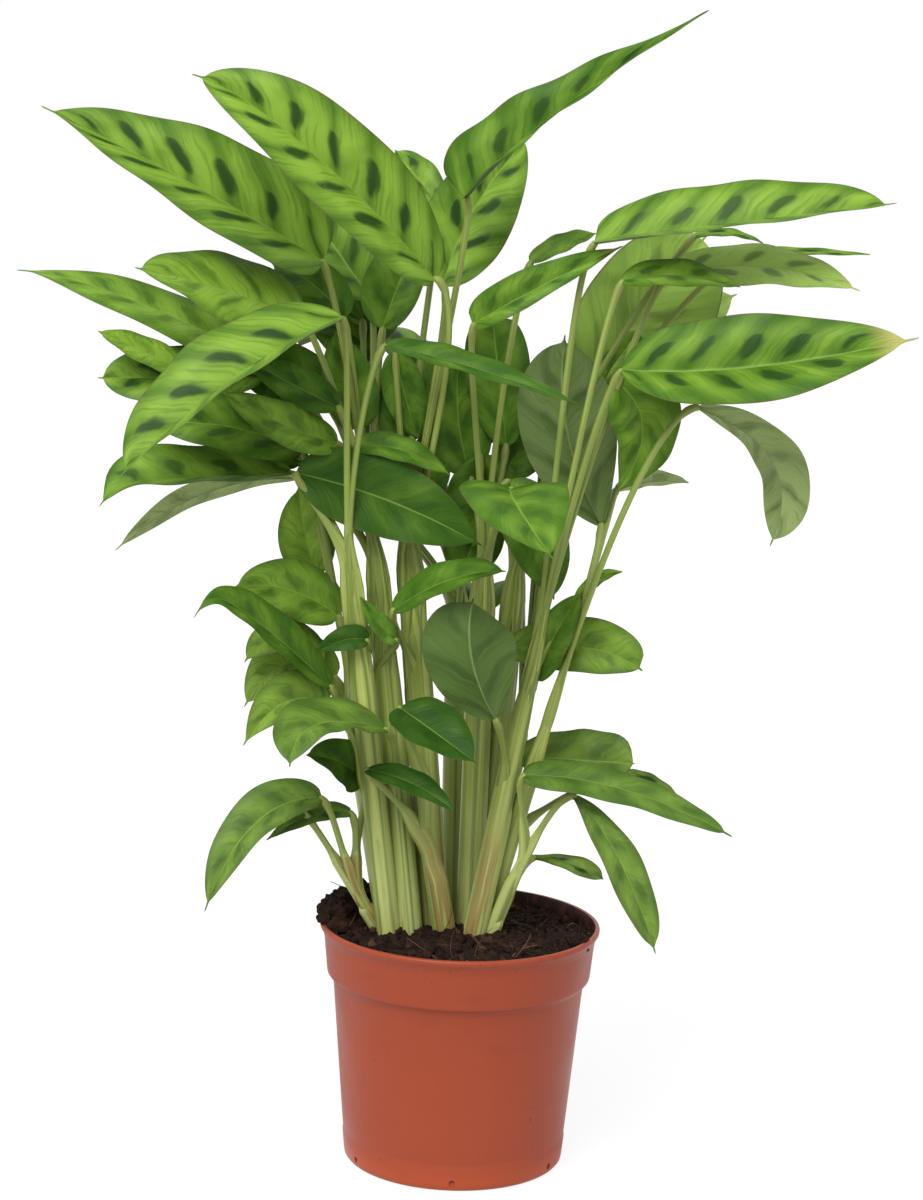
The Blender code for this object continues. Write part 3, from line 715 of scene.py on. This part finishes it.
def leaf_pattern(graph):
    """What both sides of a blade share: where a point lies, its veins, blotch, relief and noise."""
    add, times, less, ease = graph.add, graph.times, graph.less, graph.ease
    u, v, _ = graph.map()
    tone, spots, yellow, offset = graph.look()
    out = graph.math("ABSOLUTE", v)
    side = graph.math("GREATER_THAN", v, 0.0)
    wander = graph.noise(graph.joined(add(times(u, 6.0), offset), times(v, 1.5)), 1.0)
    wander = less(wander, 0.5)
    # The side veins alternate: those of one half start midway between those of the other.
    vein = graph.node("Attribute", attribute_name="veins").outputs["Fac"]
    vein = add(vein, times(side, 0.5), times(wander, 0.45), 10.0)
    beside = graph.beside(vein)
    own = graph.joined(graph.math("FLOOR", vein), side, offset)
    own = graph.split(graph.node("TexWhiteNoise", {"Vector": own}).outputs["Color"])
    # A blotch is a lens along its vein, with an inner end, an outer end and a width of its own.
    inner, outer = add(0.02, times(own[0], 0.09)), add(0.48, times(own[1], 0.18))
    inputs = {"Value": out, "From Min": inner, "From Max": outer}
    share = graph.node("MapRange", inputs).outputs["Result"]
    lens = graph.math("SINE", times(graph.math("POWER", share, 1.35), math.pi))
    lens = graph.math("POWER", graph.math("MAXIMUM", lens, 0.0), 0.75)
    size = add(0.12, times(own[2], 0.08))
    ends = times(ease(u, 0.05, 0.20), ease(u, 0.74, 0.90, 1.0, 0.0))
    depth = less(times(lens, size, ends), beside)
    streak = graph.noise(graph.joined(times(vein, 9.0), times(out, 1.3), offset), 1.0)
    ragged = add(depth, times(less(streak, 0.5), 0.10))
    vivid = add(0.4, times(spots, 0.6))
    line = times(ease(beside, 0.0, 0.28, 1.0, 0.0), vivid)
    graph.bump(add(streak, times(line, 0.5)), 0.0003)
    return SimpleNamespace(
        u=u, out=out, tone=tone, offset=offset, wander=wander, streak=streak, line=line,
        blotch=times(ease(ragged, -0.110, 0.060), ease(lens, 0.05, 0.45), spots),
        tip=times(ease(u, 0.84, 0.97), yellow),
        lane=times(ease(beside, 0.18, 0.5), vivid),
        rib=ease(out, 0.010, 0.030, 1.0, 0.0),
    )


def leaf_upper_material():
    graph = Graph("leaf_upper", DARK_GREEN)
    add, times, ease, coat = graph.add, graph.times, graph.ease, graph.coat
    part = leaf_pattern(graph)
    place = graph.place()
    broad = graph.noise(graph.joined(add(times(part.u, 3.0), part.offset), part.out), 1.2)
    pale = add(times(part.tone, 0.5), add(broad, times(part.lane, 0.26)))
    coat(PALE_GREEN, ease(pale, -0.1, 1.05))
    margin = add(part.out, times(part.wander, 0.5))
    coat(DEEP_GREEN, ease(margin, 0.50, 1.05, 0.0, 0.55))
    coat(VEIN_GREEN, times(part.line, 0.50))
    coat(VEIN_GREEN, ease(part.streak, 0.45, 0.75, 0.0, 0.38))
    # Painted shade: leaves of tone below -0.5 are darkened towards the blotch green, most at -1.
    coat(BLOTCH_AND_SHADE_GREEN, ease(part.tone, -1.0, -0.5, 0.6, 0.0))
    # Painted light: leaves of tone above 1 are lifted towards a pale green, to make up for the shade that
    # falls on them.
    coat(PAINTED_LIGHT_GREEN, ease(part.tone, 1.0, 2.0, 0.0, 0.8))
    low = ease(graph.split(place)[2], 0.17, 0.27, 0.22, 0.0)
    coat(LEAF_DUST, times(low, ease(part.tone, -0.9, -0.2)))
    coat(VEIN_GREEN, ease(graph.noise(place, 55.0, 3.0), 0.52, 0.75, 0.0, 0.30))
    coat(BLOTCH_AND_SHADE_GREEN, times(part.blotch, 0.88))
    coat(RIB_GREEN, times(part.rib, 0.55))
    coat(YELLOWED, part.tip)
    coat(DRY_MARGIN, ease(part.out, 0.955, 0.99, 0.0, 0.6))
    gloss = ease(graph.noise(place, 60.0, 3.0), 0.2, 0.8, 0.36, 0.50)
    return graph.done(Roughness=gloss, Specular_IOR_Level=0.09)


def leaf_lower_material():
    graph = Graph("leaf_lower", UNDER_DARK)
    add, times, ease, coat = graph.add, graph.times, graph.ease, graph.coat
    part = leaf_pattern(graph)
    pale = add(times(part.tone, 0.55), times(graph.noise(graph.place(), 25.0), 0.5))
    coat(UNDER_PALE, ease(pale, -0.1, 0.9))
    coat(UNDER_VEIN, times(part.line, 0.40))
    coat(UNDER_VEIN, times(part.blotch, 0.35))
    coat(UNDER_VEIN, ease(part.streak, 0.45, 0.75, 0.0, 0.3))
    coat(UNDER_RIB, times(part.rib, 0.8))
    coat(YELLOWED, part.tip)
    return graph.done(Roughness=0.6, Specular_IOR_Level=0.2)


def stem_material():
    graph = Graph("stem_skin", STEM_GREEN)
    times, ease, coat, joined = graph.times, graph.ease, graph.coat, graph.joined
    u, v, _ = graph.map()
    tone, bound, knee, brown = graph.look()
    height = graph.split(graph.place())[2]
    fibre = graph.noise(joined(times(u, 1.6), times(v, 34.0), tone), 1.0, 3.0)
    stripe = graph.noise(joined(times(u, 0.5), times(v, 10.0), times(tone, 9.0)), 1.0)
    coat(STEM_PALE, ease(stripe, 0.25, 0.75))
    coat(STEM_FOOT, ease(height, 0.10, 0.18, 0.80, 0.0))
    coat(PETIOLE_GREEN, ease(bound, 0.0, 0.5, 0.55, 0.0))
    coat(STEM_DARK, ease(tone, -0.5, 0.5, 0.30, 0.0))
    coat(STEM_DARK, ease(fibre, 0.5, 0.72, 0.0, 0.35))
    # Painted shade: darker along each strap's two side edges, where it presses against the straps beside
    # it.
    margin = ease(graph.beside(times(v, 2.0)), 0.36, 0.47)
    coat(STEM_DARK, times(margin, ease(bound, 0.0, 0.2), 0.55))
    coat(KNEE_BROWN, times(ease(knee, 0.2, 0.9), 0.35))
    dry = graph.noise(joined(times(u, 2.4), times(v, 24.0), tone), 1.0, 3.0)
    low = ease(height, 0.125, 0.165, 1.0, 0.0)
    coat(DRY_SHEATH, times(ease(dry, 0.34, 0.50), brown, low, ease(bound, 0.35, 0.6), 0.7))
    stain = graph.noise(joined(times(u, 4.0), times(v, 20.0), times(tone, 5.0)), 1.0)
    coat(DRY_SHEATH, times(ease(stain, 0.50, 0.68), ease(height, 0.102, 0.135, 0.65, 0.0)))
    graph.bump(fibre, 0.0002)
    return graph.done(Roughness=0.42, Specular_IOR_Level=0.3)


def pot_material():
    graph = Graph("pot_plastic", POT_SHADE)
    times, ease, coat = graph.times, graph.ease, graph.coat
    place = graph.place()
    x, _, z = graph.split(place)
    coat(POT_LIGHT, graph.noise(place, 14.0, 3.0))
    coat(POT_FOOT, ease(z, 0.003, 0.011, 0.6, 0.0))
    coat(POT_SPECK, ease(graph.noise(place, 420.0, 1.0), 0.77, 0.80, 0.0, 0.7))
    smudge = graph.noise(graph.joined(times(x, 40.0), times(z, 90.0)), 1.0, 4.0)
    coat(POT_SPECK, ease(smudge, 0.55, 0.80, 0.0, 0.16))
    # The inside wall is darkened nearly to black, most lower down.
    inner = graph.math("GREATER_THAN", graph.map()[1], POT_INNER_FROM)
    inside_darkening = graph.add(graph.noise(place, 160.0, 4.0), times(z, -6.0))
    coat(NEAR_BLACK_BROWN, times(inner, ease(inside_darkening, -0.20, -0.05, 0.75, 1.0)))
    dust = ease(graph.noise(place, 700.0), 0.62, 0.70)
    coat(NEAR_BLACK_BROWN, times(dust, ease(z, 0.088, 0.108, 0.0, 0.35)))
    graph.bump(graph.noise(place, 900.0), 0.00003)
    gloss = ease(graph.noise(place, 30.0, 4.0), 0.3, 0.7, 0.36, 0.50)
    return graph.done(Roughness=gloss, Specular_IOR_Level=0.24)


def soil_material():
    graph = Graph("soil_mix", SOIL_BLACK)
    place = graph.place()
    coarse = graph.noise(place, 260.0, 6.0, 0.75)
    graph.coat(SOIL_BROWN, graph.ease(coarse, 0.3, 0.75))
    graph.coat(SOIL_WARM, graph.ease(graph.noise(place, 60.0, 3.0), 0.50, 0.75, 0.0, 0.5))
    graph.coat(CRUMB_BROWN, graph.ease(graph.look()[0], 0.2, 1.0))
    graph.bump(coarse, 0.0018)
    return graph.done(Roughness=0.95, Specular_IOR_Level=0.15)


def fibre_material():
    graph = Graph("root_fibre", FIBRE_DARK)
    graph.coat(FIBRE_PALE, graph.math("POWER", graph.look()[0], 2.0))
    graph.coat(FIBRE_GRAIN, graph.ease(graph.noise(graph.place(), 500.0), 0.3, 0.7, 0.0, 0.4))
    return graph.done(Roughness=0.8, Specular_IOR_Level=0.2)


# Pot.

POT_TURNS = 160
POT_INNER_FROM = 0.7  # share of the profile's points from which the wall is the inner one
POT_SHARP = 50
DRAINS = 6
# What is cut at each drain: radius, depth, distance from the axis, height and tilt in degrees.
DRAIN_CUTS = ((4.0, 8.0, 36.0, 0.0, 0), (1.3, 3.0, 47.6, 4.0, 70))


def pot_profile():
    """Radius and height down the outside, across the base, and up the inside, from the CAD box."""
    _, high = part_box("pot")
    top = high.z / MM
    rim = high.x / MM
    outside = [
        (-1.9, top), (-0.7, top), (-0.25, top - 0.25), (-0.05, top - 0.8), (-0.15, top - 1.8),
        (-0.8, top - 2.8), (-1.5, top - 3.6), (-2.2, 96.0), (-3.5, 82.8), (-3.7, 81.8), (-4.1, 81.2),
        (-5.2, 80.6), (-5.9, 79.8), (-6.3, 78.6), (-8.8, 50.0), (-10.9, 26.0), (-12.1, 12.6), (-12.3, 11.4),
        (-12.0, 10.4), (-12.4, 6.0), (-12.7, 3.0), (-13.0, 1.3), (-13.8, 0.4), (-15.4, 0.0), (-19.0, 0.0),
        (-20.0, 0.5),
    ]
    base = [(30.0, 0.5), (12.0, 0.5), (0.0, 0.5), (0.0, 1.6), (30.0, 1.6)]
    inside = [
        (-17.0, 1.7), (-15.2, 3.2), (-14.2, 6.0), (-10.2, 50.0), (-7.6, 78.8), (-7.0, 80.6), (-5.6, 81.8),
        (-4.9, 82.8), (-3.6, 95.0), (-2.6, top - 4.0), (-2.2, top - 1.0), (-1.9, top),
    ]
    outside, inside = ([(rim + step, height) for step, height in part] for part in (outside, inside))
    return outside + base + inside


def make_pot(material):
    profile = pot_profile()
    angle = np.linspace(0, 2 * np.pi, POT_TURNS + 1)
    rows = [[(out * math.cos(turn), out * math.sin(turn), z) for out, z in profile] for turn in angle]
    builder = Builder()
    builder.sweep(np.array(rows), angle[:, None] / (2 * np.pi), np.arange(len(profile)) / len(profile))
    pot = builder.make("pot_shell", [material], ["pot"])
    cutter_mesh = bpy.data.meshes.new("pot_cutters")
    shape = bmesh.new()
    for i in range(DRAINS):
        turn = Matrix.Rotation((i + 0.5) * 2 * math.pi / DRAINS, 4, "Z")
        for radius, depth, ring, height, tilt in DRAIN_CUTS:
            place = turn @ Matrix.Translation((ring * MM, 0, height * MM))
            place = place @ Matrix.Rotation(math.radians(tilt), 4, "Y")
            bmesh.ops.create_cone(
                shape, cap_ends=True, segments=24, radius1=radius * MM, radius2=radius * MM,
                depth=depth * MM, matrix=place,
            )
    shape.to_mesh(cutter_mesh)
    shape.free()
    cutter = add_object("pot_cutters", cutter_mesh)
    holes = pot.modifiers.new("holes", "BOOLEAN")
    holes.operation = "DIFFERENCE"
    holes.object = cutter
    graph = bpy.context.evaluated_depsgraph_get()
    drained = bpy.data.meshes.new_from_object(pot.evaluated_get(graph))
    pot.modifiers.clear()
    pot.data = drained
    bpy.data.objects.remove(cutter)
    pot.data.shade_smooth()
    pot.data.set_sharp_from_angle(angle=math.radians(POT_SHARP))


# Soil.

SOIL_EDGE = 57.6
SOIL_RINGS = 70
SOIL_TURNS = 220
CRUMBS = 1100
# Clods, most of them heaped on the left and some over the rim: centre and radius.
CLODS = (
    ((-46, 6, 110), 7.5), ((-52, -4, 107.5), 6.0), ((-57, -8, 105), 3.8), ((-43, 14, 111), 6.5),
    ((-55, 7, 108), 5.0), ((-51, -15, 104), 4.2), ((-38, 18, 108), 6.0), ((-59, 1, 106.5), 3.2),
    ((50, -22, 103), 4.0), ((-12, -40, 102), 4.5), ((22, -34, 102), 3.8), ((-34, -34, 102), 4.0),
)
CRUMB_LEAST = 0.5
CRUMB_GROWTH = 2.2  # how much more the largest crumbs measure
FIBRES = 130
FIBRE_SIDES = 5
# Heaps and a hollow: rise, then place and breadth from left to right, and from front to back.
HEAPS = (
    (2.0, 0, math.inf, -48, 16), (4.5, -2, 34, -12, 22), (14.0, -50, 13, 8, 16), (-2.5, 40, 22, 30, 20),
)
# The soil's side, along the pot's wall: radius and height.
SOIL_SIDE = ((55.2, 84.0), (52.4, 79.0), (46.4, 6.2))


def hills(x, y, scale, seed=0.0):
    return noise.fractal(Vector((x / scale, y / scale, seed)), 0.6, 2.0, 4)


def soil_height(x, y):
    """The soil's surface, millimetres: high at the front, heaped at the left, low behind on the right."""
    height = 99.5 + 2.2 * hills(x, y, 16.0) + 1.9 * hills(x, y, 4.5, 3.0)
    for rise, across, breadth, back, depth in HEAPS:
        height += rise * math.exp(-(((x - across) / breadth) ** 2) - ((y - back) / depth) ** 2)
    return height


def make_soil(material):
    low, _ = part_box("soil")
    turns = np.linspace(0, 2 * np.pi, SOIL_TURNS + 1)
    rows = []
    for step in range(SOIL_RINGS + 1):
        radius = SOIL_EDGE * (step / SOIL_RINGS) ** 0.85
        ring = [(radius * math.cos(turn), radius * math.sin(turn)) for turn in turns]
        rows.append([(x, y, soil_height(x, y)) for x, y in ring])
    for radius, height in (*SOIL_SIDE, (43.0, low.z / MM), (0.0, low.z / MM)):
        rows.append([(radius * math.cos(turn), radius * math.sin(turn), height) for turn in turns])
    points = np.array(rows)
    points[:, -1] = points[:, 0]
    builder = Builder()
    builder.sweep(points, points[..., 0] / 100, points[..., 1] / 100)
    builder.make("soil_bed", [material], ["soil"])


def scattered(chance, most):
    """A point on the soil, anywhere less than this far from its middle."""
    while True:
        x, y = chance.uniform(-most, most, 2)
        if x * x + y * y < most * most:
            return np.array((x, y, soil_height(x, y)))


def ball(rings, turns, flat):
    """Rows of points on a ball of radius 1, whose height is flat times its width."""
    polar = np.linspace(0, np.pi, rings)[:, None]
    turn = np.linspace(0, 2 * np.pi, turns + 1)
    out = np.sin(polar)
    points = np.stack([out * np.cos(turn), out * np.sin(turn), flat * np.cos(polar) + 0 * turn], -1)
    points[:, -1] = points[:, 0]
    return points


def make_crumbs(material):
    """Small irregular bodies, each a coarse ball pushed in and out."""
    chance = seeded("crumbs")
    builder = Builder()
    for _ in range(CRUMBS):
        size = CRUMB_LEAST + CRUMB_GROWTH * chance.random() ** 3
        body = ball(5, 7, chance.uniform(0.5, 1.0))
        radius = size * chance.uniform(0.65, 1.25, body.shape[:2])
        radius[:, -1] = radius[:, 0]
        radius[0], radius[-1] = radius[0, 0], radius[-1, 0]
        spin = Matrix.Rotation(chance.uniform(0, 6.28), 3, Vector(chance.normal(size=3)).normalized())
        body = (body * radius[..., None]) @ np.array(spin).T + scattered(chance, 56.5)
        builder.sweep(body, look=(chance.random() ** 4, 0, 0, 0))
    builder.make("soil_crumbs", [material])


def make_clods(material):
    """Rough clods: balls whose surface is pushed about by fractal noise."""
    builder = Builder()
    directions = ball(22, 36, 0.75)
    for centre, size in CLODS:
        points = directions * size + np.array(centre, float)
        for index in np.ndindex(points.shape[:2]):
            push = noise.fractal(Vector(points[index] / 3.5), 0.7, 2.1, 5)
            points[index] += directions[index] * push * size * 0.42
        builder.sweep(points, look=(0.25, 0, 0, 0))
    builder.make("soil_clods", [material])


def make_fibres(material):
    chance = seeded("fibres")
    builder = Builder()
    angle = np.linspace(0, 2 * np.pi, FIBRE_SIDES + 1)
    for _ in range(FIBRES):
        start = scattered(chance, 55.0)
        length = chance.uniform(5, 17)
        heading = unit(np.array((*chance.normal(size=2), chance.uniform(-0.1, 0.6))))
        bend = chance.normal(size=3) * length * 0.25
        end = start + heading * length
        middle = (start + end) / 2 + bend
        points = bezier([start, middle, end], np.linspace(0, 1, 9))
        inside = np.hypot(points[:, 0], points[:, 1])
        points[:, :2] *= np.minimum(1, 57.5 / inside)[:, None]
        floor = np.array([soil_height(x, y) for x, y, _ in points])
        points[:, 2] = np.maximum(points[:, 2], floor - 0.2)
        radii = chance.uniform(0.14, 0.34) * np.linspace(1, 0.5, 9)
        across, other = path_frames(points, (0.3, 1.0, 0.2))
        ring = across[:, None] * np.cos(angle)[:, None] + other[:, None] * np.sin(angle)[:, None]
        rings = points[:, None] + ring * radii[:, None, None]
        add_rings(builder, points, rings, angle, (chance.random(), 0, 0, 0))
    builder.make("soil_fibres", [material])


# Staging.


def make_stage():
    mesh = bpy.data.meshes.new("studio_floor")
    shape = bmesh.new()
    bmesh.ops.create_circle(shape, cap_ends=True, segments=96, radius=FLOOR_RADIUS)
    shape.to_mesh(mesh)
    shape.free()
    glow = {"Emission_Color": WHITE, "Emission_Strength": FLOOR_GLOW}
    graph = Graph("studio_white", STUDIO_GREY)
    mesh.materials.append(graph.done(Roughness=0.9, Specular_IOR_Level=0.0, **glow))
    floor = add_object("studio_floor", mesh)


def make_studio():
    scene = bpy.context.scene
    scene.view_settings.view_transform = "Standard"
    world = bpy.data.worlds.new("studio")
    world.use_nodes = True
    sky = world.node_tree.nodes["Background"].inputs
    sky["Color"].default_value = (*WHITE, 1.0)
    sky["Strength"].default_value = 1.0
    scene.world = world
    light = bpy.data.lights.new("key", "SUN")
    light.angle = math.radians(KEY_BREADTH)
    light.energy = KEY_STRENGTH
    key = add_object("key", light)
    key.rotation_euler = Vector(KEY_TOWARDS).to_track_quat("Z", "Y").to_euler()
    camera = bpy.data.cameras.new("camera")
    camera.lens = CAMERA_LENS
    camera.sensor_width = CAMERA_SENSOR
    camera.clip_start = 0.05
    viewer = add_object("camera", camera)
    tilt = Matrix.Rotation(math.radians(90 - CAMERA_PITCH), 4, "X")
    roll = Matrix.Rotation(math.radians(CAMERA_ROLL), 4, "Z")
    viewer.matrix_world = Matrix.Translation(CAMERA_PLACE) @ tilt @ roll
    scene.camera = viewer


def main():
    blades = [leaf_upper_material(), leaf_lower_material()]
    skin = [stem_material()]
    earth = soil_material()
    for name, row in ALL_LEAVES.items():
        make_leaf(name, row, blades)
    for shoot in SHOOTS:
        make_stems(shoot, skin)
    make_pot(pot_material())
    make_soil(earth)
    make_crumbs(earth)
    make_clods(earth)
    make_fibres(fibre_material())
    make_stage()
    make_studio()


main()
